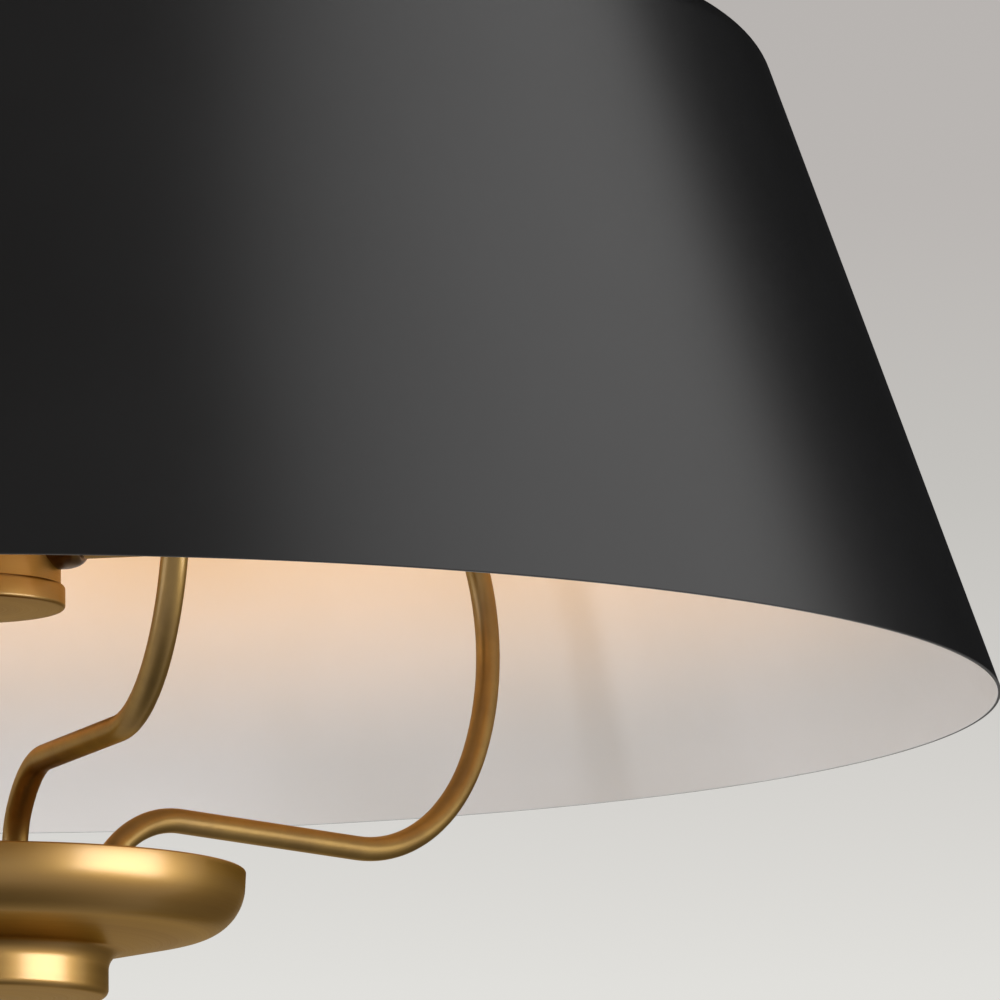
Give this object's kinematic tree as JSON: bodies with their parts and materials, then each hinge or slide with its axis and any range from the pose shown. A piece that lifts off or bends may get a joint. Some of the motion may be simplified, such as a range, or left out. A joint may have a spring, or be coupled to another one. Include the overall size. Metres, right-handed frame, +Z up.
{
  "type": "ceiling lamp",
  "caption": "Ceiling lamp: a tapered metal shade on a swivelling stem, candle bulbs on a socket hub, and bent rod arms that carry a shallow dish and a boss below the rim.",
  "frame": {"origin": "on the ceiling plane, at the centre of the mounting strap", "axes": "+Z up into the ceiling, +X along the mounting strap, one arm towards -Y"},
  "size_m": [0.6499, 0.65, 0.564],
  "materials": {
    "brass": "satin burnished",
    "dark_brass": "dark patina",
    "black_paint": "satin black outside, white inside",
    "zinc": "zinc plated",
    "ground_green": "green",
    "rubber": "black",
    "phenolic": "moulded black",
    "opal_glass": "frosted opal"
  },
  "bodies": {
    "ceiling_mount": {"mounting_strap": "zinc", "ceiling_nipple": "zinc", "nipple_locknuts": "zinc", "ground_screw": "ground_green", "canopy": "brass", "canopy_studs": "zinc", "canopy_ball_nuts": "brass", "swivel_yoke": "brass", "swivel_pin": "zinc"},
    "lamp": {"swivel_tongue": "brass", "stem": "brass", "shade_cap": "brass", "shade_washer": "rubber", "shade": "black_paint", "shade_clamp_nut": "brass", "column_tube": "zinc", "upper_sleeve": "brass", "arm_hub": "brass", "arm_1": "brass", "arm_2": "brass", "arm_3": "brass", "arm_check_rings": "brass", "lower_sleeve": "brass", "socket_hub": "brass", "hub_nut": "zinc", "hub_cap": "brass", "hub_cap_nut": "brass", "socket_collar_1": "dark_brass", "socket_collar_2": "dark_brass", "socket_collar_3": "dark_brass", "socket_husk_1": "brass", "socket_husk_2": "brass", "socket_husk_3": "brass", "lampholder_1": "phenolic", "lampholder_2": "phenolic", "lampholder_3": "phenolic", "socket_nuts": "zinc", "dish": "brass", "dish_spider": "zinc", "arm_foot_nuts": "zinc", "dish_nipple": "zinc", "boss": "brass"},
    "bulb_1": {"bulb_base_1": "zinc", "bulb_glass_1": "opal_glass"},
    "bulb_2": {"bulb_base_2": "zinc", "bulb_glass_2": "opal_glass"},
    "bulb_3": {"bulb_base_3": "zinc", "bulb_glass_3": "opal_glass"}
  },
  "joints": [
    {"name": "stem_swivel", "type": "hinge", "parent": "ceiling_mount", "child": "lamp", "pos_m": [0, 0, -0.0526], "axis": [0, 1, 0], "range_deg": [-30, 30]},
    {"name": "bulb_1_turn", "type": "hinge", "parent": "lamp", "child": "bulb_1", "pos_m": [0, 0, -0.4145], "axis": [0.866, -0.5, 0], "range_deg": [0, 1080]},
    {"name": "bulb_2_turn", "type": "hinge", "parent": "lamp", "child": "bulb_2", "pos_m": [0, 0, -0.4145], "axis": [0, 1, 0], "range_deg": [0, 1080]},
    {"name": "bulb_3_turn", "type": "hinge", "parent": "lamp", "child": "bulb_3", "pos_m": [0, 0, -0.4145], "axis": [-0.866, -0.5, 0], "range_deg": [0, 1080]}
  ]
}
